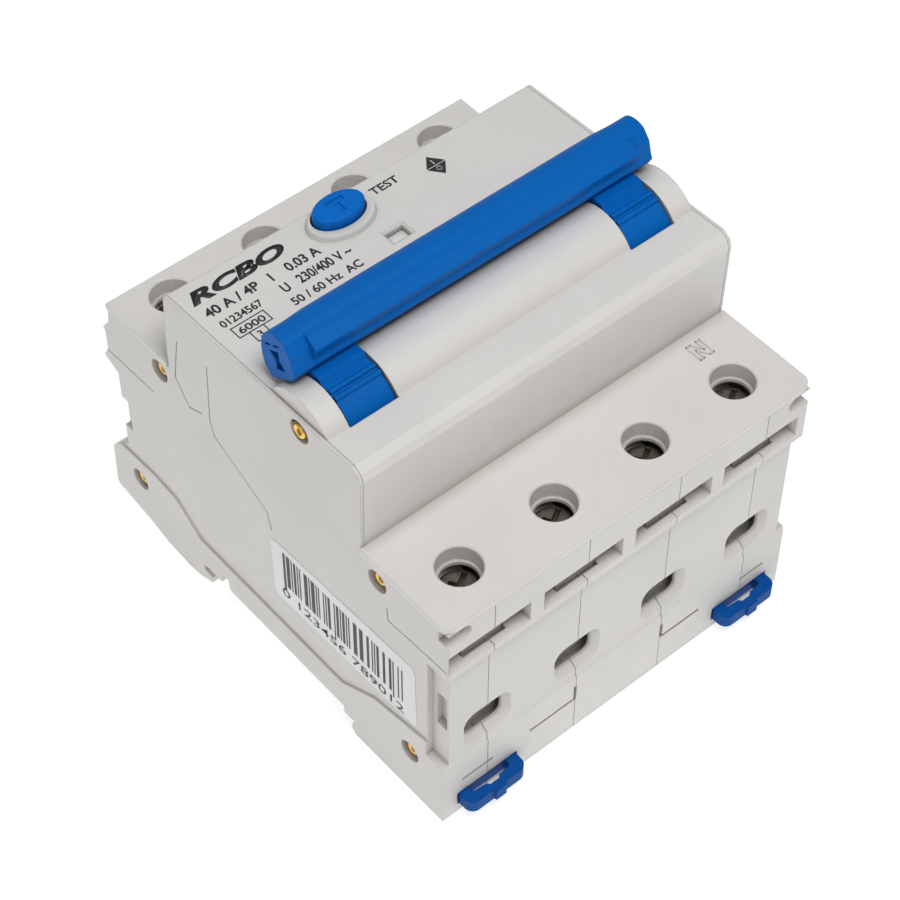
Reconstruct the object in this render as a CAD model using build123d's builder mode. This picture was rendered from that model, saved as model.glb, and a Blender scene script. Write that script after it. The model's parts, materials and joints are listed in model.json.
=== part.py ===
from build123d import *
import math
import os

# Four-module residual current circuit breaker with overload protection, for a 35 mm rail.
# Frame: origin at the middle of the rail seat, +Z towards the front of the device,
# +X along the rail to the right, +Y towards the end with the incoming terminals.

os.makedirs("parts", exist_ok=True)

# ---------------------------------------------------------------- driving dimensions (mm)
MODULE = 18.0
POLES = 4
HALF = MODULE * POLES / 2
SEAM = 0.05                 # half of the gap between neighbouring shells
WEB = 1.0                   # half thickness of the wall between two poles
SIDE_WALL = 3.0
FIT = 0.15                  # clearance of parts that only rest in their places

SHOULDER_Z = 46.0
SHOULDER_PLATE = 1.2
SHELL_TOP_Z = SHOULDER_Z - SHOULDER_PLATE
NEAR_Y = -43.6              # slot band and front edge of the near shoulder
FAR_Y = 37.9                # edge of the far shoulder
NEAR_WALL_Y = -42.5
FAR_WALL_Y = 37.5
FAR_BAND_Y = 39.7
CAVITY_NEAR_Y = -40.8
CAVITY_FAR_Y = 36.4
CAVITY_TOP_Z = 43.2
TERMINAL_FLOOR_Z = 9.5
MIDDLE_FLOOR_Z = 4.0

NOSE_NEAR_Y = -24.3
NOSE_FAR_Y = 22.1
NOSE_NEAR_Z = 62.65
NOSE_FAR_Z = 61.2
NOSE_TOP_NEAR_Y = -22.8
NOSE_TOP_FAR_Y = 20.7
SKIN = 1.2
COVER_HALF = HALF - 0.95    # the nose of the cover sits between the two side shells

BARREL_Y = -10.4
BARREL_Z = 57.9
BARREL_R = 7.75
BARREL_INNER_R = 6.6
BARREL_HALF = 35.0
DRUM_R = 7.3
TOGGLE_X = 26.7
TOGGLE_SLOT = 8.8
DRUM_WIDTH = 8.2
HANDLE_LEAN = 28.0          # degrees from +Z towards +Y in the closed position
BAR_HALF = 34.0
BAR_MIDDLE_HALF = 27.3
BAR_TAPER = 3.6            # length of the smooth change from the wide middle to the narrow end
BAR_LIP_HALF = 30.5        # the lower lip towards the near side stops short of the ends
BAR_EDGE = 0.35
AXLE_R = 1.5
RUNNING = 0.05              # radial clearance of turning fits

NEAR_SCREW_Y = -35.7
FAR_SCREW_Y = 32.8
ACCESS_R = 3.55
CAPTIVE_R = 3.05
CAPTIVE_Z = 42.9
COLLAR_R = 4.4
COLLAR_Z = 42.2
SCREW_HEAD_R = 3.15
SCREW_HEAD_TOP = 41.2
SCREW_HEAD = 1.7
SCREW_R = 2.4
SCREW_END_Z = 21.5
CAGE_HALF = 4.7
CAGE_DEPTH = 3.3            # half depth of the clamp along the wire
CAGE_WALL = 1.0
CAGE_LOW_Z = 9.9
CAGE_HIGH_Z = 32.4
CAGE_STRIP = 1.9
PLATE_HALF = 3.3
LOWER_PLATE_Z = 18.6
UPPER_PLATE_Z = 38.3
PLATE_T = 1.1
TONGUE_Z = 34.6             # the tongue seen in each busbar slot
TONGUE_LEFT = -4.5
TONGUE_RIGHT = 3.0

OPENING_LOW_Z = 11.2
OPENING_HIGH_Z = 18.9
OPENING_OUTER = 9.3
OPENING_INNER = 7.4
OPENING_STEP = 1.0          # how much the floor of the opening rises inwards
OPENING_FLARE = 1.2         # depth of the flared mouth
SLOT_LOW_Z = 35.3
SLOT_HIGH_Z = 39.5
SLOT_LEFT = -8.54           # busbar slot, measured from the pole's middle
SLOT_RIGHT = 6.87
SLOT_MID = -0.9
SLOT_GAP = 8.2

BUTTON_X = -5.9
BUTTON_Y = 17.2
BUTTON_TOP_Z = 63.9
BUTTON_LONG = 9.1
BUTTON_SHORT = 5.8
BUTTON_FLANGE_Z = 59.7
WINDOW_X = -1.3
WINDOW_Y = 8.8
FLAG_PIVOT_Y = 8.8
FLAG_PIVOT_Z = 53.2
FLAG_R = 6.9

CLIP_HALF = 5.75
CLIP_TOP_Z = 0.3
CLIP_BOTTOM_Z = -2.2
CLIP_FRONT_Y = -45.8
CLIP_NOSE_Y = -15.9

RIVET_R = 1.1
RIVET_HEAD_R = 1.6
RIVET_HEAD = 0.8
RIVET_RECESS_R = 2.05
RIVET_RECESS = 2.0
NOSE_RIVET_RECESS = 1.3      # shallower, over the end of the toggle axle
LEDGE = 0.35                # the base stands proud of the upper side walls by this much

CARRIER_Y = -2.0            # the bar that carries the moving contacts
CARRIER_Z = 27.0
CARRIER_R = 3.2
CARRIER_PIVOT_R = 1.6
TRIP_Y = -2.0               # the bar that every release pushes
TRIP_Z = 44.5
TRIP_R = 1.6
TORUS_Y = 12.0
TORUS_OUTER = 12.5
TORUS_INNER = 6.5
TORUS_Z0 = 4.6
TORUS_Z1 = 13.6

MARK_WIDTH = 0.22           # fine parting lines on the side walls
MARK_DEPTH = 0.15
GROOVE_Z = 3.3              # shallow grooves on the near face of the base
GROOVE_TALL = 0.6
GROOVE_DEPTH = 0.6
GROOVES = [(-32.0, -26.0), (-18.4, -9.4), (8.9, 17.6), (26.8, 32.0)]
GROOVE_RISERS = [-9.4, 8.9]
SHOULDER_CORNER = 1.8
POCKET_LONG = 4.6           # finger pockets at the near corners, under the shoulder
POCKET_R = 1.4
POCKET_Z = 43.25
POCKET_BACK_Y = -41.4

pole_x = [(i - (POLES - 1) / 2) * MODULE for i in range(POLES)]
through_rivets = [(-27.8, 41.6), (24.8, 41.5), (-35.0, 6.2), (34.6, 6.2)]
nose_rivet = (-11.0, 59.6)

BASE_OUTLINE = [
    (-42.8, -4.3), (-21.8, -4.8), (-20.7, -3.8), (-20.7, -2.9), (-21.2, -1.5), (-18.8, -1.5),
    (-18.8, 0.0), (10.7, 0.0), (11.1, 2.3), (12.6, 2.3), (13.0, 0.0), (17.8, 0.0),
    (17.8, -1.35), (15.9, -1.9), (15.9, -3.2), (19.7, -4.6), (22.4, -4.9), (28.6, -4.3),
    (33.1, -3.1), (41.7, -1.6), (42.2, -0.9), (41.9, 8.4), (40.9, 9.7),
]
FAR_OUTLINE = [
    (FAR_WALL_Y, 12.6), (FAR_WALL_Y, 29.9), (41.0, 31.6), (FAR_BAND_Y, 33.9), (FAR_BAND_Y, 38.1),
    (40.2, 38.7), (38.3, 41.4), (FAR_Y, SHELL_TOP_Z),
]
NEAR_OUTLINE = [
    (NEAR_Y, SHELL_TOP_Z), (NEAR_Y, 33.7), (NEAR_WALL_Y, 32.8), (NEAR_WALL_Y, 9.8), (-42.8, 9.2),
]
CAVITY = [
    (CAVITY_NEAR_Y, TERMINAL_FLOOR_Z), (-22.0, TERMINAL_FLOOR_Z), (-18.0, MIDDLE_FLOOR_Z),
    (27.0, MIDDLE_FLOOR_Z), (30.0, TERMINAL_FLOOR_Z), (CAVITY_FAR_Y, TERMINAL_FLOOR_Z),
    (CAVITY_FAR_Y, CAVITY_TOP_Z), (CAVITY_NEAR_Y, CAVITY_TOP_Z),
]
NOSE_WALL = [
    (NOSE_NEAR_Y, SHELL_TOP_Z), (-24.65, 60.4), (-24.2, 61.8), (NOSE_TOP_NEAR_Y, NOSE_NEAR_Z),
    (NOSE_TOP_FAR_Y, NOSE_FAR_Z), (21.3, 60.7), (NOSE_FAR_Y, SHELL_TOP_Z),
]
NOSE_INSIDE = [
    (-22.9, SHELL_TOP_Z - 1), (-23.2, 60.2), (-22.3, NOSE_NEAR_Z - SKIN),
    (19.5, NOSE_FAR_Z - SKIN), (20.0, 59.4), (20.8, SHELL_TOP_Z - 1),
]
NOSE_WEB = [(-22.6, 40.0), (-22.8, 59.6), (19.4, 59.2), (20.3, 40.0)]
NOSE_WEB_ROOM = [(-22.8, 40.0), (-23.0, 59.8), (19.6, 59.4), (20.5, 40.0)]
LEDGE_LINE = [
    (-60.0, 13.2), (-38.4, 13.2), (-26.6, 10.8), (-18.3, 6.1), (18.0, 6.1), (24.3, 10.7),
    (29.9, 11.4), (60.0, 9.9), (60.0, 80.0), (-60.0, 80.0),
]
SIDE_LINES = [
    [(18.9, 53.0), (20.4, 44.0), (17.4, 39.6), (14.0, 41.1)],
    [(11.4, 53.9), (12.0, 41.3), (11.2, 38.3), (-1.3, 32.0), (-2.1, 28.3)],
    [(-29.9, 37.3), (-30.1, 34.6), (-43.2, 35.6)],
    [(39.5, 33.8), (27.4, 34.3)],
]


# ---------------------------------------------------------------- helpers
def save(part, name):
    """Label one finished piece and write it to its own file."""
    part.label = name
    export_step(part, f"parts/{name}.step")


def box(x0, x1, y0, y1, z0, z1):
    """A block between two corners, in any order."""
    with BuildPart() as made:
        with Locations(((x0 + x1) / 2, (y0 + y1) / 2, (z0 + z1) / 2)):
            Box(abs(x1 - x0), abs(y1 - y0), abs(z1 - z0))
    return made.part


def rod_x(x0, x1, y, z, radius):
    """A round bar along X."""
    with BuildPart() as made:
        with Locations(Location(((x0 + x1) / 2, y, z), (0, 90, 0))):
            Cylinder(radius, abs(x1 - x0))
    return made.part


def rod_z(x, y, z0, z1, radius):
    """A round bar along Z."""
    with BuildPart() as made:
        with Locations((x, y, (z0 + z1) / 2)):
            Cylinder(radius, abs(z1 - z0))
    return made.part


def rod_y(x, z, y0, y1, radius):
    """A round bar along Y."""
    with BuildPart() as made:
        with Locations(Location((x, (y0 + y1) / 2, z), (90, 0, 0))):
            Cylinder(radius, abs(y1 - y0))
    return made.part


def plate(points, x0, x1, rounding=0.0):
    """A flat plate with the given outline across the rail, between two positions along it."""
    with BuildPart() as made:
        with BuildSketch(Plane.YZ.offset(min(x0, x1))) as outline:
            with BuildLine():
                Polyline(points, close=True)
            make_face()
            if rounding:
                fillet(outline.vertices(), rounding)
        extrude(amount=abs(x1 - x0))
    return made.part


def slab(points, z0, z1):
    """A flat slab with the given outline seen from the front."""
    with BuildPart() as made:
        with BuildSketch(Plane.XY.offset(z0)):
            with BuildLine():
                Polyline(points, close=True)
            make_face()
        extrude(amount=z1 - z0)
    return made.part


def oval(x, y, long, short, z0, z1, spread=0.0):
    """An oval column standing on the nose, optionally widening downwards."""
    with BuildPart() as made:
        with BuildSketch(Plane.XY.offset(z0)):
            with Locations((x, y)):
                Ellipse(long / 2 + spread, short / 2 + spread)
        if spread:
            with BuildSketch(Plane.XY.offset(z1)):
                with Locations((x, y)):
                    Ellipse(long / 2, short / 2)
            loft()
        else:
            extrude(amount=z1 - z0)
    return made.part


def carve(solids, cuts):
    """Join solids and take the cuts away."""
    with BuildPart() as made:
        for solid in solids:
            add(solid)
        if cuts:
            add(cuts, mode=Mode.SUBTRACT)
    return made.part


def nose_z(y):
    """Height of the nose's gently sloping front face."""
    slope = (NOSE_NEAR_Z - NOSE_FAR_Z) / (NOSE_TOP_FAR_Y - NOSE_TOP_NEAR_Y)
    return NOSE_FAR_Z + (NOSE_TOP_FAR_Y - y) * slope


def lean(points, angle):
    """Turn points given as (across, outwards) from the handle's axis into (y, z)."""
    c = math.cos(math.radians(angle))
    s = math.sin(math.radians(angle))
    return [(BARREL_Y + v * s + u * c, BARREL_Z + v * c - u * s) for u, v in points]


# ---------------------------------------------------------------- shared openings of the shells
def wire_opening(x, y_face, side):
    """The flared wire opening of one terminal, narrowing into the housing."""
    depth = OPENING_FLARE
    low = OPENING_LOW_Z + OPENING_STEP
    mid = (OPENING_LOW_Z + OPENING_HIGH_Z) / 2
    mid_in = (low + OPENING_HIGH_Z) / 2
    with BuildPart() as made:
        with BuildSketch(Plane.XZ.offset(-y_face - side * 0.02)) as mouth:
            with Locations((x, mid)):
                Rectangle(OPENING_OUTER, OPENING_HIGH_Z - OPENING_LOW_Z)
            fillet(mouth.vertices().group_by(Axis.Z)[0], 2.4)
        with BuildSketch(Plane.XZ.offset(-y_face + side * depth)) as throat:
            with Locations((x, mid_in)):
                Rectangle(OPENING_INNER, OPENING_HIGH_Z - low)
            fillet(throat.vertices().group_by(Axis.Z)[0], 1.6)
        loft()
        with BuildSketch(Plane.XZ.offset(-y_face + side * (depth - 0.05))) as bore:
            with Locations((x, mid_in)):
                Rectangle(OPENING_INNER, OPENING_HIGH_Z - low)
            fillet(bore.vertices().group_by(Axis.Z)[0], 1.6)
        extrude(amount=side * 2.5)
    return made.part


def busbar_slot(x, y_band, side):
    """The recess across one pole for a busbar, with its inner gap to the clamp."""
    y_back = y_band - side * 2.05
    y_floor = y_band - side * 1.2
    y_in = y_band - side * 5.0
    outer = box(x + SLOT_LEFT, x + SLOT_RIGHT, y_back, y_band + side, SLOT_LOW_Z, SLOT_HIGH_Z)
    inner = box(x + SLOT_MID - SLOT_GAP / 2, x + SLOT_MID + SLOT_GAP / 2, y_floor, y_in, 33.9, SLOT_HIGH_Z)
    return [outer, inner]


def shell_cuts(x0, x1):
    """Every hole the shells share, for the poles that touch the stretch x0 to x1."""
    cuts = []
    for x in pole_x:
        if x + 9.5 < x0 or x - 9.5 > x1:
            continue
        cuts.append(wire_opening(x, NEAR_WALL_Y, -1))
        cuts.append(wire_opening(x, FAR_WALL_Y, 1))
        cuts += busbar_slot(x, NEAR_Y, -1)
        cuts += busbar_slot(x, FAR_BAND_Y, 1)
        for y in (NEAR_SCREW_Y, FAR_SCREW_Y):
            cuts.append(rod_z(x, y, 40.0, 46.0, COLLAR_R + FIT))
    for y, z in through_rivets:
        cuts.append(rod_x(-HALF - 1, HALF + 1, y, z, RIVET_R + 0.02))
    base_face = BASE_OUTLINE[0][0]
    groove_ends = (base_face - 1, base_face + GROOVE_DEPTH)
    for low, high in GROOVES:
        cuts.append(box(low, high, *groove_ends, GROOVE_Z, GROOVE_Z + GROOVE_TALL))
    for x in GROOVE_RISERS:
        cuts.append(box(x, x + GROOVE_TALL, *groove_ends, GROOVE_Z, GROOVE_Z + 3.6))
    for x in (pole_x[0], pole_x[-1]):
        half = CLIP_HALF + 0.3
        cuts.append(box(x - half, x + half, -44.0, -18.0, CLIP_BOTTOM_Z - 0.3, CLIP_TOP_Z + 0.3))
    return cuts


def side_shell(side):
    """The outer half shell of an end pole, with the whole side wall of the device."""
    out = side * HALF
    inner = side * (MODULE * (POLES - 1) / 2 + SEAM)
    wall = side * (HALF - SIDE_WALL)
    face = side * (HALF - LEDGE)
    solids = [
        plate(BASE_OUTLINE + FAR_OUTLINE + NEAR_OUTLINE, inner, out),
        plate(NOSE_WALL, side * (COVER_HALF + 0.05), out),
        plate(NOSE_WEB, wall, out),
    ]
    cuts = [plate(CAVITY, wall, inner - side)]
    cuts.append(box(inner - side, wall, -22.8, 20.5, 42.0, 46.0))
    cuts += shell_cuts(min(out, inner), max(out, inner))
    cuts.append(plate(LEDGE_LINE, face, out + side))
    corner = side * (HALF - 1.4)
    cuts.append(box(corner, out + side, -44.0, -38.9, 9.9, 33.4))
    cuts.append(box(side * (HALF - 2.5), out + side, -42.1, -39.9, 18.6, 26.5))
    cuts.append(box(side * (HALF - 1.3), out + side, 35.6, 38.5, 17.5, 24.4))
    pocket_x = side * (HALF - POCKET_LONG + POCKET_R)
    cuts.append(box(pocket_x, out + side, -45.0, POCKET_BACK_Y, POCKET_Z - POCKET_R, POCKET_Z + POCKET_R))
    cuts.append(rod_y(pocket_x, POCKET_Z, -45.0, POCKET_BACK_Y, POCKET_R))
    for y, z in through_rivets:
        cuts.append(rod_x(face - side * RIVET_RECESS, out + side, y, z, RIVET_RECESS_R))
    cuts.append(rod_x(face - side * NOSE_RIVET_RECESS, out + side, *nose_rivet, RIVET_RECESS_R))
    cuts.append(rod_x(wall - side, side * (HALF - 2.0), BARREL_Y, BARREL_Z, AXLE_R))
    cuts.append(rod_x(wall - side, side * (HALF - 1.6), CARRIER_Y, CARRIER_Z, CARRIER_PIVOT_R + RUNNING))
    cuts.append(rod_x(wall - side, side * (HALF - 1.6), TRIP_Y, TRIP_Z, TRIP_R + RUNNING))
    for line in SIDE_LINES:
        for (ya, za), (yb, zb) in zip(line, line[1:]):
            length = math.hypot(yb - ya, zb - za)
            angle = math.degrees(math.atan2(zb - za, yb - ya))
            with BuildPart() as mark:
                with Locations(Location((face, (ya + yb) / 2, (za + zb) / 2), (angle, 0, 0))):
                    Box(2 * MARK_DEPTH, length + MARK_WIDTH, MARK_WIDTH)
            cuts.append(mark.part)
    return carve(solids, cuts)


def pole_shell(gap):
    """A shell between two pole middles: rims both ways from the wall between the poles."""
    low = pole_x[gap] + SEAM
    high = pole_x[gap + 1] - SEAM
    web = (low + high) / 2
    solids = [plate(BASE_OUTLINE + FAR_OUTLINE + NEAR_OUTLINE, low, high)]
    cuts = [plate(CAVITY, low - 1, web - WEB), plate(CAVITY, web + WEB, high + 1)]
    cuts.append(box(low - 1, web - WEB, -22.8, 20.5, 42.0, 46.0))
    cuts.append(box(web + WEB, high + 1, -22.8, 20.5, 42.0, 46.0))
    cuts += shell_cuts(low, high)
    shell = carve(solids, cuts)
    holes = [
        rod_x(web - 3, web + 3, BARREL_Y, BARREL_Z, AXLE_R),
        rod_x(web - 3, web + 3, CARRIER_Y, CARRIER_Z, CARRIER_R + RUNNING),
        rod_x(web - 3, web + 3, TRIP_Y, TRIP_Z, TRIP_R + RUNNING),
        box(web - 3, web + 3, TORUS_Y - TORUS_OUTER - 1.5, TORUS_Y + TORUS_OUTER + 1.5, 3.0, TORUS_Z1 + 1.5),
    ]
    if gap == 1:
        holes.append(box(web - 3, web + 3, 0.5, 22.0, 38.0, 62.0))
    return carve([shell, plate(NOSE_WEB, web - WEB, web + WEB)], holes)


left_side_shell = side_shell(-1)
save(left_side_shell, "left_side_shell")
right_side_shell = side_shell(1)
save(right_side_shell, "right_side_shell")
for gap in range(POLES - 1):
    save(pole_shell(gap), f"pole_shell_{gap + 1}")

# ---------------------------------------------------------------- front cover
near_shoulder = [(-HALF, NEAR_Y), (HALF, NEAR_Y), (HALF, -23.2), (-HALF, -23.2)]
far_shoulder = [(-HALF, 20.9), (HALF, 20.9), (HALF, FAR_Y), (-HALF, FAR_Y)]
with BuildPart() as near_plate:
    add(slab(near_shoulder, SHELL_TOP_Z + 0.02, SHOULDER_Z))
    fillet(near_plate.edges().filter_by(Axis.Z).group_by(Axis.Y)[0], SHOULDER_CORNER)
cover_solids = [
    near_plate.part,
    slab(far_shoulder, SHELL_TOP_Z + 0.02, SHOULDER_Z),
    plate([(y, max(z, SHELL_TOP_Z + 0.02)) for y, z in NOSE_WALL], -COVER_HALF, COVER_HALF),
    rod_x(-BARREL_HALF, BARREL_HALF, BARREL_Y, BARREL_Z, BARREL_R),
]
for x in pole_x:
    for y in (NEAR_SCREW_Y, FAR_SCREW_Y):
        cover_solids.append(rod_z(x, y, COLLAR_Z, SHOULDER_Z - 0.2, COLLAR_R))
collar_z = nose_z(BUTTON_Y)
cover_solids.append(oval(BUTTON_X, BUTTON_Y - 0.6, 11.4, 8.0, collar_z - 0.4, collar_z + 0.95, 0.5))
cover_cuts = [
    plate(NOSE_INSIDE, -COVER_HALF - 1, COVER_HALF + 1),
    rod_x(-BARREL_HALF + 1.2, BARREL_HALF - 1.2, BARREL_Y, BARREL_Z, BARREL_INNER_R),
]
for side in (-1, 1):
    cover_cuts.append(plate(NOSE_WEB_ROOM, side * (HALF - SIDE_WALL - 0.1), side * (HALF + 1)))
    nose_ends = (NOSE_NEAR_Y - 0.05, NOSE_FAR_Y + 0.05)
    cover_cuts.append(box(side * COVER_HALF, side * (HALF + 1), *nose_ends, 44.0, 66.0))
    seat = side * (HALF - LEDGE - NOSE_RIVET_RECESS)
    cover_cuts.append(rod_x(seat, side * (HALF + 1), *nose_rivet, RIVET_RECESS_R))
    toggle_x = side * TOGGLE_X
    half_slot = TOGGLE_SLOT / 2
    cover_cuts.append(rod_x(toggle_x - half_slot, toggle_x + half_slot, BARREL_Y, BARREL_Z, BARREL_R + 0.25))
for x in pole_x:
    for y in (NEAR_SCREW_Y, FAR_SCREW_Y):
        cover_cuts.append(rod_z(x, y, CAPTIVE_Z, SHOULDER_Z + 1, ACCESS_R))
        cover_cuts.append(rod_z(x, y, COLLAR_Z - 1, CAPTIVE_Z + 1, CAPTIVE_R))
        with BuildPart() as countersink:
            with Locations((x, y, SHOULDER_Z - 0.1)):
                Cone(ACCESS_R - 0.05, ACCESS_R + 0.35, 0.4)
        cover_cuts.append(countersink.part)
cover_cuts.append(oval(BUTTON_X, BUTTON_Y, BUTTON_LONG + 0.6, BUTTON_SHORT + 0.6, 56.6, 66.0))
window_z = nose_z(WINDOW_Y)
cover_cuts.append(box(WINDOW_X - 1.7, WINDOW_X + 1.7, WINDOW_Y - 1.15, WINDOW_Y + 1.15, 58.0, 64.0))
with BuildPart() as window_bevel:
    with BuildSketch(Plane.XY.offset(window_z - 0.5)):
        with Locations((WINDOW_X, WINDOW_Y)):
            Rectangle(3.4, 2.3)
    with BuildSketch(Plane.XY.offset(window_z + 0.1)):
        with Locations((WINDOW_X, WINDOW_Y)):
            Rectangle(4.6, 3.5)
    loft()
cover_cuts.append(window_bevel.part)
with BuildPart() as front_cover:
    for solid in cover_solids:
        add(solid)
    add(cover_cuts, mode=Mode.SUBTRACT)
save(front_cover.part, "front_cover")

# ---------------------------------------------------------------- rivets and label
rivet_solids = []
for y, z in through_rivets:
    rivet_solids.append(rod_x(-HALF + LEDGE + RIVET_RECESS, HALF - LEDGE - RIVET_RECESS, y, z, RIVET_R))
    for side in (-1, 1):
        seat = side * (HALF - LEDGE - RIVET_RECESS)
        rivet_solids.append(rod_x(seat, seat + side * RIVET_HEAD, y, z, RIVET_HEAD_R))
for side in (-1, 1):
    seat = side * (HALF - LEDGE - NOSE_RIVET_RECESS)
    rivet_solids.append(rod_x(seat, seat + side * RIVET_HEAD, *nose_rivet, RIVET_HEAD_R))
with BuildPart() as housing_rivets:
    for solid in rivet_solids:
        add(solid)
    rims = housing_rivets.faces().filter_by(Axis.X).sort_by(Axis.X)
    rim_x = HALF - LEDGE - RIVET_RECESS + RIVET_HEAD
    outer_rims = [f.edges() for f in rims if abs(f.center().X) > rim_x - 0.1]
    for loop in outer_rims:
        chamfer(loop, 0.35)
save(housing_rivets.part, "housing_rivets")

with BuildPart() as side_label:
    with BuildSketch(Plane.YZ.offset(-HALF + LEDGE - 0.1)) as label_outline:
        with BuildLine():
            Polyline([(-1.7, 26.4), (-2.0, 12.6), (-36.5, 13.9), (-36.0, 28.5)], close=True)
        make_face()
        fillet(label_outline.vertices(), 1.4)
    extrude(amount=0.1)
save(side_label.part, "side_label")

# ---------------------------------------------------------------- handle
BAR_INSIDE = [
    (-3.1, 14.6), (-3.5, 12.6), (-2.95, 10.4), (-2.9, 9.5), (-1.65, 8.6), (0.6, 8.45), (2.4, 8.15),
]
END_INSIDE = BAR_INSIDE + [(4.0, 8.2), (4.7, 10.0)]
END_OUTSIDE = [(4.7, 10.0), (3.9, 13.0), (2.6, 14.9), (0.1, 16.3), (-1.7, 15.9), (-3.1, 14.6)]
MIDDLE_INSIDE = BAR_INSIDE + [(4.8, 7.9), (5.9, 9.5)]
MIDDLE_OUTSIDE = [(5.9, 9.5), (5.2, 12.4), (3.4, 14.7), (0.3, 16.4), (-1.7, 16.0), (-3.1, 14.6)]
BAR_LIP = [(-1.4, 15.2), (-3.0, 14.8), (-3.9, 14.1), (-5.0, 12.2), (-2.95, 10.4), (-1.4, 10.6)]
HOURGLASS = [(-0.7, 9.9), (1.7, 9.9), (1.0, 11.5), (1.7, 13.1), (-0.7, 13.1), (0.0, 11.5)]
HOURGLASS_DEPTH = 3.0
SLITS = [(-1.3, 13.9, 0.1, 14.25), (0.9, 13.9, 2.2, 14.25)]
SLIT_DEPTH = 0.8
TANG = [(-1.2, 7.2), (-1.2, 11.6), (3.0, 11.6), (3.0, 7.2)]
TANG_HALF = 2.88


def bar_section(x, inside, outside):
    """Outline of the handle bar at one place along it."""
    with BuildSketch(Plane.YZ.offset(x)) as section:
        with BuildLine():
            Polyline(lean(inside, HANDLE_LEAN))
            Spline(lean(outside, HANDLE_LEAN))
        make_face()
        fillet(section.vertices(), BAR_EDGE)
    return section.sketch


bar_pieces = []
bar_stretches = [(BAR_HALF, END_INSIDE, END_OUTSIDE), (BAR_MIDDLE_HALF, MIDDLE_INSIDE, MIDDLE_OUTSIDE)]
for half, inside, outside in bar_stretches:
    section = bar_section(-half, inside, outside)
    bar_pieces.append(Solid.extrude(section.face(), Vector(2 * half, 0, 0)))
bar_pieces.append(plate(lean(BAR_LIP, HANDLE_LEAN), -BAR_LIP_HALF, BAR_LIP_HALF, 0.25))
bar_cuts = []
for side in (-1, 1):
    wide = bar_section(side * BAR_MIDDLE_HALF, MIDDLE_INSIDE, MIDDLE_OUTSIDE)
    narrow = bar_section(side * (BAR_MIDDLE_HALF + BAR_TAPER), END_INSIDE, END_OUTSIDE)
    bar_pieces.append(Solid.make_loft([wide.face().outer_wire(), narrow.face().outer_wire()]))
    end = side * BAR_HALF
    bar_cuts.append(plate(lean(HOURGLASS, HANDLE_LEAN), end + side, end - side * HOURGLASS_DEPTH))
    for u0, v0, u1, v1 in SLITS:
        slit = [(u0, v0), (u1, v0), (u1, v1), (u0, v1)]
        bar_cuts.append(plate(lean(slit, HANDLE_LEAN), end + side, end - side * SLIT_DEPTH))
    tang_x = side * TOGGLE_X
    bar_cuts.append(plate(lean(TANG, HANDLE_LEAN), tang_x - TANG_HALF - 0.02, tang_x + TANG_HALF + 0.02))
handle_bar = carve(bar_pieces, bar_cuts).solids().sort_by(SortBy.VOLUME)[-1]
save(handle_bar, "handle_bar")

LINK_PIN = (-4.6, 0.0)
LINK_SLOT = [(-5.3, -0.85), (-3.5, -0.85), (-3.5, 0.85), (-5.3, 0.85)]
DRUM_RIBS = [(-4.7, 5.6), (-5.6, 4.7)]
DRUM_RIB_R = 0.45
NECK = [(-3.6, 5.5), (-3.1, 7.6), (-1.5, 8.45), (0.6, 8.4), (2.4, 8.1), (3.6, 7.9), (4.9, 5.5)]
for side, name in ((-1, "toggle_left"), (1, "toggle_right")):
    x0 = side * TOGGLE_X - DRUM_WIDTH / 2
    x1 = side * TOGGLE_X + DRUM_WIDTH / 2
    tang = plate(lean(TANG, HANDLE_LEAN), side * TOGGLE_X - TANG_HALF, side * TOGGLE_X + TANG_HALF)
    solids = [rod_x(x0, x1, BARREL_Y, BARREL_Z, DRUM_R), plate(lean(NECK, HANDLE_LEAN), x0, x1), tang]
    for rib_y, rib_z in lean(DRUM_RIBS, HANDLE_LEAN):
        solids.append(rod_x(x0, x1, rib_y, rib_z, DRUM_RIB_R))
    cuts = [
        rod_x(x0 - 1, x1 + 1, BARREL_Y, BARREL_Z, AXLE_R + RUNNING),
        plate(lean(LINK_SLOT, HANDLE_LEAN), x0 - 1, x1 + 1),
    ]
    save(carve(solids, cuts), name)

with BuildPart() as toggle_axle:
    add(rod_x(-HALF + 2.1, HALF - 2.1, BARREL_Y, BARREL_Z, AXLE_R - 0.01))
    chamfer(toggle_axle.edges(), 0.2)
save(toggle_axle.part, "toggle_axle")

# ---------------------------------------------------------------- test button, spring and contact
flange_long = BUTTON_LONG + 1.8
button_flange = oval(BUTTON_X, BUTTON_Y, flange_long, BUTTON_SHORT - 0.8, BUTTON_FLANGE_Z - 1, BUTTON_FLANGE_Z)
button_body = oval(BUTTON_X, BUTTON_Y, BUTTON_LONG, BUTTON_SHORT, BUTTON_FLANGE_Z - 0.1, BUTTON_TOP_Z)
mark_z = BUTTON_TOP_Z - 0.25
letter_bar = box(BUTTON_X - 1.6, BUTTON_X + 1.6, BUTTON_Y + 0.6, BUTTON_Y + 1.4, mark_z, mark_z + 1)
letter_stem = box(BUTTON_X - 0.4, BUTTON_X + 0.4, BUTTON_Y - 1.5, BUTTON_Y + 0.7, mark_z, mark_z + 1)
with BuildPart() as test_button:
    add(button_body)
    top_edges = test_button.edges().group_by(Axis.Z)[-1]
    fillet(top_edges, 0.5)
    add(button_flange)
    add(rod_z(BUTTON_X, BUTTON_Y, BUTTON_FLANGE_Z - 6.6, BUTTON_FLANGE_Z - 0.9, 1.1))
    add([letter_bar, letter_stem], mode=Mode.SUBTRACT)
save(test_button.part, "test_button")

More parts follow.
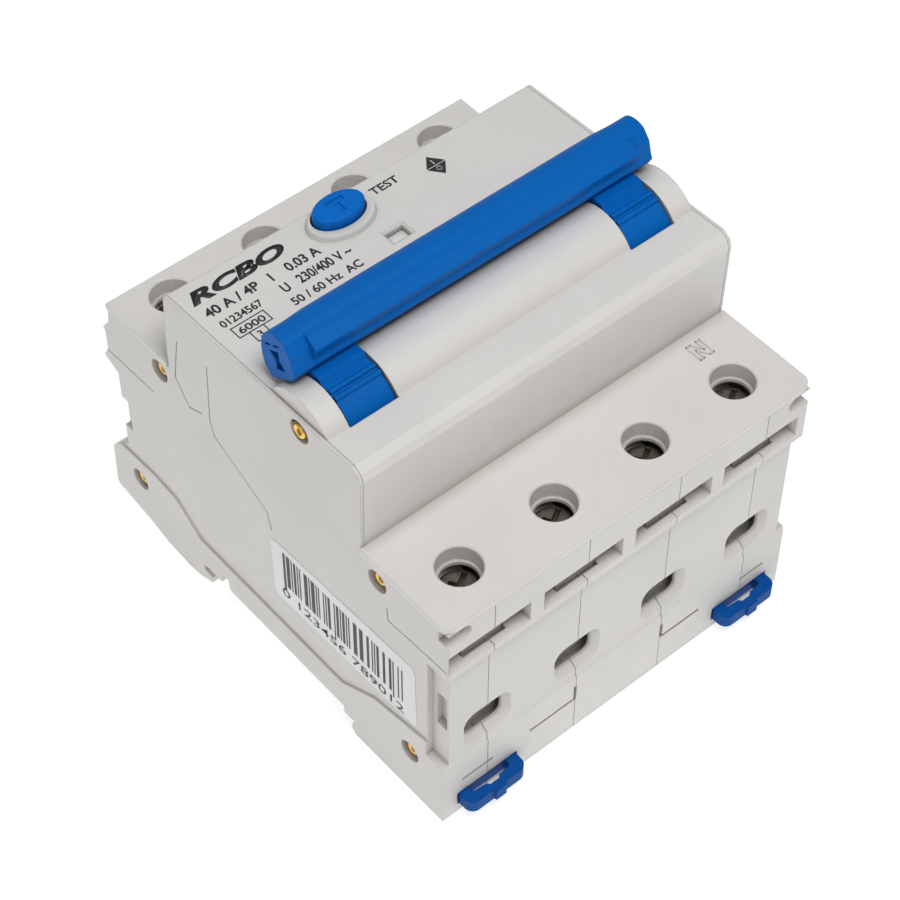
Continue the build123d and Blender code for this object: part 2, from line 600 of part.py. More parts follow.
SPRING_TOP = BUTTON_FLANGE_Z - 1.05
SPRING_LOW = 50.6
SPRING_R = 1.7
SPRING_WIRE = 0.3
with BuildPart() as test_spring:
    with BuildLine(Plane.XY.offset(SPRING_LOW + SPRING_WIRE)) as coil:
        Helix(pitch=1.3, height=SPRING_TOP - SPRING_LOW - 2 * SPRING_WIRE, radius=SPRING_R,
              center=(BUTTON_X, BUTTON_Y, 0))
    with BuildSketch(Plane(origin=coil.line @ 0, z_dir=coil.line % 0)):
        Circle(SPRING_WIRE)
    sweep(is_frenet=True)
save(test_spring.part, "test_spring")

shelf_y0 = BUTTON_Y - 3.4
with BuildPart() as test_contact:
    add(box(BUTTON_X - 3.0, BUTTON_X + 3.0, shelf_y0, 20.2, 49.7, 50.5))
    add(box(BUTTON_X - 3.0, BUTTON_X + 3.0, shelf_y0, shelf_y0 + 0.8, 42.5, 50.4))
    add(rod_z(BUTTON_X, BUTTON_Y, 50.4, 51.6, 0.9))
save(test_contact.part, "test_contact")

# ---------------------------------------------------------------- status flag
FLAG_X0 = WINDOW_X - 2.6
FLAG_X1 = WINDOW_X + 2.6
fan = [(0.0, 0.0)]
for step in range(13):
    angle = math.radians(-42 + step * 7)
    fan.append((FLAG_R * math.sin(angle), FLAG_R * math.cos(angle)))
fan = [(FLAG_PIVOT_Y + u, FLAG_PIVOT_Z + v) for u, v in fan]
inner_fan = [(0.0, 1.9)]
for step in range(9):
    angle = math.radians(-30 + step * 7.5)
    inner_fan.append(((FLAG_R - 1.1) * math.sin(angle), (FLAG_R - 1.1) * math.cos(angle)))
inner_fan = [(FLAG_PIVOT_Y + u, FLAG_PIVOT_Z + v) for u, v in inner_fan]
with BuildPart() as status_flag:
    add(plate(fan, FLAG_X0, FLAG_X1))
    add(rod_x(FLAG_X0, FLAG_X1, FLAG_PIVOT_Y, FLAG_PIVOT_Z, 1.7))
    add(plate(inner_fan, FLAG_X0 + 0.8, FLAG_X1 - 0.8), mode=Mode.SUBTRACT)
    add(rod_x(FLAG_X0 - 1, FLAG_X1 + 1, FLAG_PIVOT_Y, FLAG_PIVOT_Z, 0.8 + RUNNING), mode=Mode.SUBTRACT)
save(status_flag.part, "status_flag")

with BuildPart() as flag_bracket:
    add(rod_x(FLAG_X0 - 1.6, FLAG_X1 + 1.6, FLAG_PIVOT_Y, FLAG_PIVOT_Z, 0.8))
    for x in (FLAG_X0 - 1.6, FLAG_X1 + 0.6):
        add(box(x, x + 1.0, FLAG_PIVOT_Y - 1.6, FLAG_PIVOT_Y + 1.6, 44.2, FLAG_PIVOT_Z + 1.4))
    add(box(FLAG_X0 - 1.6, FLAG_X1 + 1.6, FLAG_PIVOT_Y - 1.6, FLAG_PIVOT_Y + 1.6, 43.4, 44.4))
save(flag_bracket.part, "flag_bracket")

# ---------------------------------------------------------------- rail clips
CLIP_PROFILE = [
    (CLIP_FRONT_Y, CLIP_TOP_Z), (CLIP_FRONT_Y, CLIP_BOTTOM_Z), (-17.7, CLIP_BOTTOM_Z),
    (-17.3, -3.2), (-16.4, -3.2), (CLIP_NOSE_Y, -2.2), (CLIP_NOSE_Y, -1.15),
    (-19.1, -1.15), (-19.4, CLIP_TOP_Z),
]
for middle, name in ((pole_x[0], "din_clip_left"), (pole_x[-1], "din_clip_right")):
    bar = plate(CLIP_PROFILE, middle - CLIP_HALF, middle + CLIP_HALF)
    lug = [(middle - 1.25, CLIP_FRONT_Y + 0.5), (middle - 1.0, CLIP_FRONT_Y - 0.45),
           (middle + 1.0, CLIP_FRONT_Y - 0.45), (middle + 1.25, CLIP_FRONT_Y + 0.5)]
    hole = [(middle - 3.7, -42.6), (middle + 3.7, -42.6), (middle + 3.7, -43.9), (middle + 1.3, -44.1),
            (middle + 0.9, -44.6), (middle - 0.9, -44.6), (middle - 1.3, -44.1), (middle - 3.7, -43.9)]
    left_leg = box(middle - 3.4, middle - 2.9, -38.5, -24.5, CLIP_BOTTOM_Z - 1, CLIP_TOP_Z + 1)
    right_leg = box(middle + 2.9, middle + 3.4, -38.5, -24.5, CLIP_BOTTOM_Z - 1, CLIP_TOP_Z + 1)
    with BuildPart() as clip:
        add(bar)
        corners = clip.edges().filter_by(Axis.Z).group_by(Axis.Y)[0]
        fillet(corners, 1.6)
        add(slab(lug, CLIP_BOTTOM_Z, CLIP_TOP_Z))
        add([slab(hole, CLIP_BOTTOM_Z - 1, CLIP_TOP_Z + 1), left_leg, right_leg], mode=Mode.SUBTRACT)
    save(clip.part, name)

# ---------------------------------------------------------------- terminals
def screw(x, y):
    """Captive terminal screw with a combined slot and cross recess."""
    head_low = SCREW_HEAD_TOP - SCREW_HEAD
    with BuildPart() as made:
        add(rod_z(x, y, head_low, SCREW_HEAD_TOP, SCREW_HEAD_R))
        chamfer(made.edges().group_by(Axis.Z)[-1], 0.3)
        add(rod_z(x, y, SCREW_END_Z, head_low + 0.1, SCREW_R))
        for turn in range(16):
            z = SCREW_END_Z + 0.5 + turn * 0.8
            if z < 35.5:
                with BuildSketch(Plane.XZ.offset(-y)) as notch:
                    with BuildLine():
                        Polyline([(x + SCREW_R - 0.18, z + 0.2), (x + SCREW_R + 0.1, z - 0.1),
                                  (x + SCREW_R + 0.1, z + 0.5)], close=True)
                    make_face()
                revolve(axis=Axis((x, y, 0), (0, 0, 1)), mode=Mode.SUBTRACT)
        with Locations(Location((x, y, SCREW_HEAD_TOP), (0, 0, 30))):
            Box(5.2, 0.9, 1.8, mode=Mode.SUBTRACT)
            Box(0.9, 3.4, 1.8, mode=Mode.SUBTRACT)
    return made.part


def clamp(x, y):
    """Sheet steel cage that the screw pulls up against the terminal plates."""
    strip_z = CAGE_HIGH_Z - CAGE_STRIP
    solids = [box(x - CAGE_HALF, x + CAGE_HALF, y - CAGE_DEPTH, y + CAGE_DEPTH, CAGE_LOW_Z, CAGE_HIGH_Z)]
    window = box(x - CAGE_HALF + CAGE_WALL, x + CAGE_HALF - CAGE_WALL, y - CAGE_DEPTH - 1, y + CAGE_DEPTH + 1,
                 CAGE_LOW_Z + 1.4, strip_z)
    bore = rod_z(x, y, strip_z - 1, CAGE_HIGH_Z + 1, SCREW_R + RUNNING)
    with BuildPart() as made:
        add(solids)
        fillet(made.edges().filter_by(Axis.Y), 0.8)
        add([window, bore], mode=Mode.SUBTRACT)
    return made.part


def terminal_plate(x, y, side):
    """Bent copper strip: lower tongue in the clamp, upright, upper tongue over the busbar slot."""
    back = y - side * (CAGE_DEPTH + 1.6)
    front_low = y + side * (CAGE_DEPTH + 0.1)
    front_high = NEAR_Y + 2.0 if side < 0 else FAR_BAND_Y - 2.0
    lower = box(x - PLATE_HALF, x + PLATE_HALF, back, front_low, LOWER_PLATE_Z, LOWER_PLATE_Z + PLATE_T)
    neck = y + side * (CAGE_DEPTH + 0.1)
    upper = box(x - PLATE_HALF, x + PLATE_HALF, back, neck, UPPER_PLATE_Z, UPPER_PLATE_Z + PLATE_T)
    x0 = x + TONGUE_LEFT
    x1 = x + TONGUE_RIGHT
    drop = box(x0, x1, neck - side * 0.02, neck + side * PLATE_T, TONGUE_Z, UPPER_PLATE_Z + PLATE_T)
    tongue = box(x0, x1, neck, front_high, TONGUE_Z, TONGUE_Z + PLATE_T)
    riser = box(x - PLATE_HALF, x + PLATE_HALF, back, back - side * PLATE_T, LOWER_PLATE_Z,
                UPPER_PLATE_Z + PLATE_T)
    hole = rod_z(x, y, UPPER_PLATE_Z - 1, UPPER_PLATE_Z + 3, SCREW_R + RUNNING)
    return carve([lower, upper, drop, tongue, riser], [hole])


for name, y, side in (("outgoing", NEAR_SCREW_Y, -1), ("incoming", FAR_SCREW_Y, 1)):
    plates = [terminal_plate(x, y, side) for x in pole_x]
    with BuildPart() as terminal_plates:
        for strip in plates:
            add(strip)
    save(terminal_plates.part, f"{name}_terminal_plates")
    for number, x in enumerate(pole_x, 1):
        save(screw(x, y), f"{name}_screw_{number}")
        save(clamp(x, y), f"{name}_clamp_{number}")

# ---------------------------------------------------------------- contacts and their carrier
ARM_HALF = 1.5
TIP_Y = 8.6
TIP_Z = 24.4
carrier_solids = [rod_x(-HALF + 1.7, HALF - 1.7, CARRIER_Y, CARRIER_Z, CARRIER_PIVOT_R)]
carrier_solids.append(rod_x(-HALF + SIDE_WALL + 0.2, HALF - SIDE_WALL - 0.2, CARRIER_Y, CARRIER_Z, CARRIER_R))
arm_outline = [
    (CARRIER_Y - 2.2, CARRIER_Z - 1.1), (CARRIER_Y + 3.0, CARRIER_Z - 1.3), (TIP_Y - 2.0, TIP_Z - 0.8),
    (TIP_Y + 1.2, TIP_Z - 0.8), (TIP_Y + 1.2, TIP_Z + 0.8), (TIP_Y - 1.6, TIP_Z + 1.0),
    (CARRIER_Y + 3.2, CARRIER_Z + 1.1), (CARRIER_Y - 2.2, CARRIER_Z + 1.1),
]
arms = [plate(arm_outline, x - ARM_HALF, x + ARM_HALF, 0.3) for x in pole_x]
tips = [rod_z(x, TIP_Y, TIP_Z - 1.9, TIP_Z - 0.7, 1.3) for x in pole_x]
CRANK_X = 30.0
crank = [(CARRIER_Y - 2.2, CARRIER_Z - 1.9), (CARRIER_Y - 14.6, CARRIER_Z - 1.4),
         (CARRIER_Y - 14.6, CARRIER_Z + 1.4), (CARRIER_Y - 2.2, CARRIER_Z + 1.9)]
crank_slot = [(CARRIER_Y - 13.9, CARRIER_Z - 0.75), (CARRIER_Y - 13.9, CARRIER_Z + 0.8),
              (CARRIER_Y - 11.7, CARRIER_Z + 0.8), (CARRIER_Y - 11.7, CARRIER_Z - 0.75)]
with BuildPart() as contact_carrier:
    for solid in carrier_solids:
        add(solid)
    for x in (-CRANK_X, CRANK_X):
        add(plate(crank, x - 0.8, x + 0.8))
        add(plate(crank_slot, x - 1.0, x + 1.0), mode=Mode.SUBTRACT)
    arm_room = [box(x - ARM_HALF, x + ARM_HALF, CARRIER_Y - 2.2, CARRIER_Y + 5, CARRIER_Z - 1.35,
                    CARRIER_Z + 1.15) for x in pole_x]
    add(arm_room, mode=Mode.SUBTRACT)
save(contact_carrier.part, "contact_carrier")
with BuildPart() as moving_contacts:
    for arm, tip in zip(arms, tips):
        add(arm)
        add(tip)
save(moving_contacts.part, "moving_contacts")

PAD_TOP = TIP_Z - 1.95
riser_y = FAR_SCREW_Y - CAGE_DEPTH - 1.6 - PLATE_T
with BuildPart() as fixed_contacts:
    for x in pole_x:
        add(rod_z(x, TIP_Y, PAD_TOP - 1.0, PAD_TOP, 1.4))
        add(box(x - 1.8, x + 1.8, TIP_Y - 2.0, 12.4, PAD_TOP - 2.1, PAD_TOP - 0.95))
        add(box(x - 1.8, x + 1.8, 11.3, 12.4, 16.4, PAD_TOP - 1.0))
        add(box(x - 1.8, x + 1.8, 11.3, riser_y - 0.1, 15.4, 16.5))
        add(box(x - 1.8, x + 1.8, riser_y - 1.2, riser_y - 0.05, 15.5, 24.0))
save(fixed_contacts.part, "fixed_contacts")

with BuildPart() as arc_chutes:
    for x in pole_x:
        for level in range(7):
            z = 24.0 + level * 2.0
            with Locations((x, 18.2, z)):
                Box(9.0, 9.6, 0.9)
            with Locations((x, 13.6, z)):
                Cylinder(1.6, 2.0, mode=Mode.SUBTRACT)
        for flank in (-4.8, 4.8):
            with Locations((x + flank, 18.2, 30.0)):
                Box(0.6, 10.4, 14.2)
save(arc_chutes.part, "arc_chutes")

COIL_Y0 = -26.4
COIL_Y1 = -15.4
COIL_Z = 33.6
with BuildPart() as magnet_coils:
    for x in pole_x:
        add(rod_y(x, COIL_Z, COIL_Y0 + 0.9, COIL_Y1 - 0.9, 3.3))
        for y in (COIL_Y0, COIL_Y1 - 1.0):
            add(rod_y(x, COIL_Z, y, y + 1.0, 4.3))
        for turn in range(8):
            y = COIL_Y0 + 1.8 + turn * 1.06
            with Locations(Location((x, y, COIL_Z), (90, 0, 0))):
                Torus(3.6, 0.5)
save(magnet_coils.part, "magnet_coils")

with BuildPart() as bimetal_strips:
    for x in pole_x:
        add(box(x - 2.6, x + 2.6, -17.6, -16.8, 9.7, 27.6))
        add(box(x - 2.6, x + 2.6, -24.0, -16.9, 9.7, 10.7))
        add(rod_y(x, 25.0, -16.9, -15.2, 0.7))
save(bimetal_strips.part, "bimetal_strips")

with BuildPart() as trip_bar:
    add(rod_x(-HALF + 1.7, HALF - 1.7, TRIP_Y, TRIP_Z, TRIP_R))
    for x in pole_x:
        finger = [(TRIP_Y - 1.0, TRIP_Z - 0.6), (TRIP_Y - 3.4, TRIP_Z - 5.6), (TRIP_Y - 2.0, TRIP_Z - 6.2),
                  (TRIP_Y + 0.8, TRIP_Z - 1.0)]
        add(plate(finger, x - 1.2, x + 1.2))
save(trip_bar.part, "trip_bar")

# ---------------------------------------------------------------- closing link
LINK_WIRE = 0.45
link_y, link_z = lean([LINK_PIN], HANDLE_LEAN)[0]
with BuildPart() as closing_link:
    for side in (-1, 1):
        outer = side * (HALF - SIDE_WALL - 0.7)
        add(rod_x(side * 28.0, outer, link_y, link_z, LINK_WIRE))
        add(rod_z(outer, link_y, CARRIER_Z - 0.8, link_z + 0.8, LINK_WIRE + 0.15))
        add(rod_x(side * 28.6, outer, link_y, CARRIER_Z, LINK_WIRE))
save(closing_link.part, "closing_link")

# ---------------------------------------------------------------- residual current parts
with BuildPart() as summation_transformer:
    with BuildSketch(Plane.XY.offset(TORUS_Z0)):
        with Locations((0, TORUS_Y)):
            Circle(TORUS_OUTER)
            Circle(TORUS_INNER, mode=Mode.SUBTRACT)
    extrude(amount=TORUS_Z1 - TORUS_Z0)
    fillet(summation_transformer.edges(), 1.2)
save(summation_transformer.part, "summation_transformer")

with BuildPart() as pole_conductors:
    for index, x in enumerate(pole_x):
        angle = math.radians(45 + 90 * index)
        cx = 2.6 * math.cos(angle)
        cy = TORUS_Y + 2.6 * math.sin(angle)
        add(rod_z(cx, cy, MIDDLE_FLOOR_Z + 0.1, TORUS_Z1 + 0.9, 1.2))
save(pole_conductors.part, "pole_conductors")

with BuildPart() as trip_relay:
    add(box(pole_x[1] - 5.5, pole_x[1] + 5.5, -14.0, -5.0, 47.5, 55.9))
    fillet(trip_relay.edges().filter_by(Axis.Z), 0.8)
    add(rod_y(pole_x[1], 50.0, -5.1, -3.2, 0.8))
save(trip_relay.part, "trip_relay")

with BuildPart() as circuit_board:
    add(box(pole_x[2] - 5.4, pole_x[2] + 6.5, 2.0, 18.5, 50.2, 51.8))
    add(box(pole_x[2] - 4.5, pole_x[2] - 0.5, 4.0, 9.0, 51.7, 53.6))
    add(box(pole_x[2] + 1.5, pole_x[2] + 5.0, 12.0, 15.0, 51.7, 53.0))
    add(rod_z(pole_x[2] + 3.0, 6.5, 51.7, 57.2, 2.2))
    for y in (11.5, 13.5, 15.5):
        add(rod_x(pole_x[2] - 5.0, pole_x[2] - 1.0, y, 52.4, 0.7))
save(circuit_board.part, "circuit_board")
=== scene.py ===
import json
import math
import random

import bmesh
import bpy
from mathutils import Matrix, Vector


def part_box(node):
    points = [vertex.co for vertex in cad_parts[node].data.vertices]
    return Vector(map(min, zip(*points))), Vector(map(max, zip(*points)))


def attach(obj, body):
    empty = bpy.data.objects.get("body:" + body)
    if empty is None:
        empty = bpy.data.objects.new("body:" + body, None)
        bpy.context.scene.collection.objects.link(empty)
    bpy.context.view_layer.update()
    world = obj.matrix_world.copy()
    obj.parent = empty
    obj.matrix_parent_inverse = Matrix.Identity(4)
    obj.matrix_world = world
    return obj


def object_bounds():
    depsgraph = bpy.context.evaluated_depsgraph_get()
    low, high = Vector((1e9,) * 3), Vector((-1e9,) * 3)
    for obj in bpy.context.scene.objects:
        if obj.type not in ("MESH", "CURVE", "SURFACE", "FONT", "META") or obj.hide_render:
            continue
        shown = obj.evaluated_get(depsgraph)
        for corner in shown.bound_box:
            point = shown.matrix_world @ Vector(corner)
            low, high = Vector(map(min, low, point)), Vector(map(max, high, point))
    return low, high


# Looks of a four-module residual current circuit breaker lying on its back.
# Everything is in metres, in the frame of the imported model. X runs along the modules, Y from the
# near side, where the outgoing wires go in, to the far side, and Z from the rail up to the handle.

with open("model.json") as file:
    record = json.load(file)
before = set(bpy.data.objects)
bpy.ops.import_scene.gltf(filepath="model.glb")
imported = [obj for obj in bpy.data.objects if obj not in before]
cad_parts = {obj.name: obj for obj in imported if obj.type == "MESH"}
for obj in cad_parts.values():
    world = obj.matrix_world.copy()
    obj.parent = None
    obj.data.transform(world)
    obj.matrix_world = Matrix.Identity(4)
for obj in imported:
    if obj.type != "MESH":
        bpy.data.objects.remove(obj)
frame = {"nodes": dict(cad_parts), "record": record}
cad_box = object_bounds()

MM = 0.001
UP = Vector((0, 0, 1))
LEFT = Vector((-1, 0, 0))
ABOVE, BESIDE = 0.2, 0.1      # rays towards the device start this high and this far out
PRINT_LIFT = 0.012 * MM       # ink stands this far off the plastic
PRINT_THICK = 0.01 * MM
SAME_POINT = 1e-5             # points nearer than this are one point
CAPITAL_HEIGHT = 0.73         # height of a capital letter in a text of size 1
SEED = 7


def surface_height(x, y):
    """Height of the front cover's top surface above the point (x, y)."""
    hit, place, _, _ = frame["nodes"]["front_cover"].ray_cast(Vector((x, y, ABOVE)), -UP)
    if not hit:
        raise ValueError(f"nothing of front_cover lies under {x}, {y}")
    return place.z


# ---------------------------------------------------------------- shader helpers
MIX_FACTOR, MIX_FIRST, MIX_SECOND, MIX_RESULT = 0, 6, 7, 2      # sockets of a Mix node for colours
CREVICE_SAMPLES = 8
EDGE_SAMPLES = 4


class Shader:
    """A material with a Principled surface and short calls for its nodes."""

    def __init__(self, name):
        self.material = bpy.data.materials.new(name)
        self.material.use_nodes = True
        self.tree = self.material.node_tree
        self.surface = self.tree.nodes["Principled BSDF"]
        self.coords = self.tree.nodes.new("ShaderNodeTexCoord").outputs["Object"]

    def set(self, **values):
        for name, value in values.items():
            self.surface.inputs[name.replace("_", " ")].default_value = value

    def link(self, source, target):
        self.tree.links.new(source, target)

    def drive(self, **sources):
        """Links node outputs to inputs of the surface."""
        for name, source in sources.items():
            self.link(source, self.surface.inputs[name.replace("_", " ")])

    def noise(self, scale, detail=2.0, roughness=0.5, coords=None):
        made = self.tree.nodes.new("ShaderNodeTexNoise")
        made.inputs["Scale"].default_value = scale
        made.inputs["Detail"].default_value = detail
        made.inputs["Roughness"].default_value = roughness
        self.link(coords or self.coords, made.inputs["Vector"])
        return made.outputs["Fac"]

    def stretched(self, scale):
        made = self.tree.nodes.new("ShaderNodeMapping")
        made.inputs["Scale"].default_value = scale
        self.link(self.coords, made.inputs["Vector"])
        return made.outputs["Vector"]

    def spread(self, value, low, high, out_low=0.0, out_high=1.0):
        """Stretches low..high to out_low..out_high."""
        made = self.tree.nodes.new("ShaderNodeMapRange")
        made.inputs["From Min"].default_value = low
        made.inputs["From Max"].default_value = high
        made.inputs["To Min"].default_value = out_low
        made.inputs["To Max"].default_value = out_high
        self.link(value, made.inputs["Value"])
        return made.outputs["Result"]

    def mix(self, factor, first, second):
        made = self.tree.nodes.new("ShaderNodeMix")
        made.data_type = "RGBA"
        self._feed(factor, made.inputs[MIX_FACTOR])
        self._feed(first, made.inputs[MIX_FIRST])
        self._feed(second, made.inputs[MIX_SECOND])
        return made.outputs[MIX_RESULT]

    def _feed(self, value, socket):
        if isinstance(value, bpy.types.NodeSocket):
            self.link(value, socket)
        elif isinstance(value, tuple):
            socket.default_value = (*value, 1.0)
        else:
            socket.default_value = value

    def math(self, operation, first, second):
        made = self.tree.nodes.new("ShaderNodeMath")
        made.operation = operation
        self._feed(first, made.inputs[0])
        self._feed(second, made.inputs[1])
        return made.outputs[0]

    def crevices(self, distance):
        """1 in the open and towards 0 in corners and recesses."""
        made = self.tree.nodes.new("ShaderNodeAmbientOcclusion")
        made.samples = CREVICE_SAMPLES
        made.inputs["Distance"].default_value = distance
        return made.outputs["AO"]

    def bump(self, height, strength, distance, normal=None):
        made = self.tree.nodes.new("ShaderNodeBump")
        made.inputs["Strength"].default_value = strength
        made.inputs["Distance"].default_value = distance
        self.link(height, made.inputs["Height"])
        if normal is not None:
            self.link(normal, made.inputs["Normal"])
        return made.outputs["Normal"]

    def soft_edges(self, radius):
        made = self.tree.nodes.new("ShaderNodeBevel")
        made.samples = EDGE_SAMPLES
        made.inputs["Radius"].default_value = radius
        return made.outputs["Normal"]


def tinted(colour, factor, lift=0.0):
    """The colour made darker or brighter."""
    return tuple(c * factor + lift for c in colour)


# ---------------------------------------------------------------- finishes
# noise scales, from broad clouds to fine grain
FLOOR_CLOUDS = 3.0
PLASTIC_CLOUDS, PLASTIC_WAVES, FLOW_MARKS, SPARK_GRAIN = 60.0, 160.0, 420.0, 5200.0
TARNISH_SPOTS, DRAWING_LINES = 900.0, 3000.0
INK_PATCHES, INK_GRAIN = 2600.0, 4000.0
PAPER_CLOUDS, PAPER_RELIEF, PAPER_FIBRES = 90.0, 1500.0, 2200.0
BOARD_TRACKS, BOARD_GLOSS = 500.0, 900.0

PLASTIC_IOR = 1.5
PLASTIC_EDGE = 0.2 * MM       # radius of the moulded edges in the shading
METAL_EDGE = 0.06 * MM
CORNER_SHADE_TINT = (0.38, 0.36, 0.32)     # what painted shade in corners and recesses leaves of each colour channel
LACQUER, LACQUERED_TRACK = (0.02, 0.13, 0.05), (0.05, 0.24, 0.09)


def moulded_plastic(name, colour, roughness, grain=0.12, crevice_shade=0.25, gloss=0.5, reach=1.6 * MM):
    """Injection-moulded plastic: fine spark-eroded grain, faint flow marks, painted shade in corners and
    recesses.
    """
    s = Shader(name)
    s.set(IOR=PLASTIC_IOR, Specular_IOR_Level=gloss)
    darker = tinted(colour, 0.93)
    corner_shaded = tuple(c * f for c, f in zip(colour, CORNER_SHADE_TINT))
    cloud = s.spread(s.noise(PLASTIC_CLOUDS, 3.0), 0.35, 0.65)
    flow = s.spread(s.noise(FLOW_MARKS, 2.0), 0.3, 0.7, 0.0, 0.35)
    tone = s.mix(s.math("MULTIPLY", cloud, 0.6), colour, darker)
    tone = s.mix(flow, tone, darker)
    # painted shade: the colour darkens in corners and recesses, measured by ambient occlusion
    hollow = s.spread(s.crevices(reach), 0.25, 0.95, crevice_shade, 0.0)
    fine = s.noise(SPARK_GRAIN, 2.0, 0.6)
    normal = s.soft_edges(PLASTIC_EDGE)
    normal = s.bump(s.noise(PLASTIC_WAVES, 1.0), 0.05, 0.3 * MM, normal)
    normal = s.bump(fine, grain, 0.05 * MM, normal)
    s.drive(Base_Color=s.mix(hollow, tone, corner_shaded),
            Roughness=s.spread(fine, 0.3, 0.7, roughness - 0.05, roughness + 0.06),
            Normal=normal)
    return s.material


def metal(name, colour, roughness, brushed=(1.0, 1.0, 1.0), tarnish=0.4, recess_shade=0.75, metallic=1.0):
    """Bare or plated metal with drawing lines, spots of tarnish and painted shade in the corners."""
    s = Shader(name)
    s.set(Metallic=metallic)
    spots = s.spread(s.noise(TARNISH_SPOTS, 4.0), 0.42, 0.72, 0.0, tarnish)
    # painted shade: the colour darkens in corners and recesses, measured by ambient occlusion
    hollow = s.spread(s.crevices(1.0 * MM), 0.1, 0.9, recess_shade, 0.0)
    tone = s.mix(spots, colour, tinted(colour, 0.45))
    lines = s.noise(DRAWING_LINES, 3.0, 0.6, s.stretched(brushed))
    s.drive(Base_Color=s.mix(hollow, tone, tinted(colour, 0.2)),
            Roughness=s.spread(lines, 0.3, 0.7, roughness - 0.08, roughness + 0.12),
            Normal=s.bump(lines, 0.25, 0.03 * MM, s.soft_edges(METAL_EDGE)))
    return s.material


def printed(name, colour, roughness=0.45):
    """Pad-printed ink: nearly opaque, slightly uneven."""
    s = Shader(name)
    thin = s.spread(s.noise(INK_PATCHES, 3.0), 0.35, 0.75, 0.0, 0.5)
    s.drive(Base_Color=s.mix(thin, colour, tinted(colour, 1.8, 0.01)),
            Roughness=s.spread(s.noise(INK_GRAIN), 0.3, 0.7, roughness - 0.06, roughness + 0.06))
    return s.material


def paper(name, colour):
    """Coated label paper with faint fibres and slightly uneven tone."""
    s = Shader(name)
    fibres = s.spread(s.noise(PAPER_FIBRES, 5.0, 0.7), 0.3, 0.7, 0.0, 0.5)
    cloud = s.spread(s.noise(PAPER_CLOUDS, 2.0), 0.3, 0.7, 0.0, 0.4)
    tone = s.mix(fibres, colour, tinted(colour, 0.96))
    s.drive(Base_Color=s.mix(cloud, tone, tinted(colour, 0.94)),
            Roughness=s.spread(fibres, 0.0, 0.5, 0.38, 0.5),
            Normal=s.bump(s.noise(PAPER_RELIEF, 4.0), 0.06, 0.04 * MM))
    return s.material


def solder_mask(name, colour, track_colour):
    """Board lacquer over copper tracks."""
    s = Shader(name)
    tracks = s.tree.nodes.new("ShaderNodeTexBrick")
    tracks.inputs["Scale"].default_value = BOARD_TRACKS
    s.link(s.coords, tracks.inputs["Vector"])
    s.drive(Base_Color=s.mix(s.spread(tracks.outputs["Fac"], 0.0, 1.0, 0.1, 0.8), colour, track_colour),
            Roughness=s.spread(s.noise(BOARD_GLOSS), 0.3, 0.7, 0.25, 0.4))
    return s.material


# each finish's crevice value sets how dark its painted shade in corners and recesses gets
BLUE = {"roughness": 0.5, "grain": 0.08, "crevice_shade": 0.15, "gloss": 0.1}
# terminal metal is near white and mostly non-metallic: a painted sheen that keeps it bright in its shaded
# slot
TERMINAL = {"roughness": 0.42, "brushed": (1.0, 8.0, 1.0), "tarnish": 0.15, "recess_shade": 0.08, "metallic": 0.2}
FINISHES = [
    # name, kind, colour, the rest
    ("side_plastic", moulded_plastic, (0.70, 0.68, 0.65), {"roughness": 0.46, "crevice_shade": 0.4}),
    ("pole_plastic", moulded_plastic, (0.72, 0.70, 0.67),
     {"roughness": 0.46, "crevice_shade": 0.55, "reach": 2.2 * MM}),
    ("cover_plastic", moulded_plastic, (0.75, 0.73, 0.70),
     {"roughness": 0.44, "crevice_shade": 0.65, "reach": 2.6 * MM}),
    ("rivet_brass", metal, (0.92, 0.60, 0.16), {"roughness": 0.36, "tarnish": 0.25, "recess_shade": 0.3}),
    ("label_white", paper, (0.83, 0.82, 0.83), {}),
    ("blue_plastic", moulded_plastic, (0.0, 0.13, 0.495), BLUE),
    ("button_plastic", moulded_plastic, (0.0, 0.155, 0.60), BLUE),
    ("clip_plastic", moulded_plastic, (0.0, 0.075, 0.33), BLUE),
    ("steel", metal, (0.60, 0.60, 0.60), {"roughness": 0.3}),
    # the screws' steel is painted dark: painted shade of the deep terminal holes they sit in
    ("screw_steel", metal, (0.26, 0.24, 0.20), {"roughness": 0.34}),
    # bright tinned metal with a painted sheen: near white and mostly non-metallic, so it stays bright in
    # its shaded slot
    ("terminal_metal", metal, (0.96, 0.94, 0.88), TERMINAL),
    ("copper", metal, (0.75, 0.40, 0.24), {"roughness": 0.32}),
    ("flag_white", moulded_plastic, (0.80, 0.80, 0.78), {"roughness": 0.4}),
    ("dark_plastic", moulded_plastic, (0.035, 0.035, 0.038), {"roughness": 0.5}),
    ("core_plastic", moulded_plastic, (0.05, 0.05, 0.055), {"roughness": 0.5}),
    ("board_green", solder_mask, LACQUER, {"track_colour": LACQUERED_TRACK}),
]
materials = {name: kind(name, colour, **rest) for name, kind, colour, rest in FINISHES}
ink = printed("ink", (0.018, 0.018, 0.02))
label_ink = printed("label_ink", (0.012, 0.012, 0.016), 0.5)

OWN_FINISH = {"test_button": "button_plastic"}      # a node whose finish has another name than its slot
slots_of = {row["node"]: row["material_slot"] for row in frame["record"]["subparts"]}
for name, node in frame["nodes"].items():
    node.data.materials.clear()
    node.data.materials.append(materials[OWN_FINISH.get(name, slots_of[name])])


# ---------------------------------------------------------------- flat shapes and text
def link_to_scene(made):
    bpy.context.scene.collection.objects.link(made)


def add_piece(name, mesh, material, body):
    """A new object from a mesh, riding on a CAD body."""
    piece = bpy.data.objects.new(name, mesh)
    link_to_scene(piece)
    mesh.materials.clear()
    mesh.materials.append(material)
    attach(piece, body)
    return piece


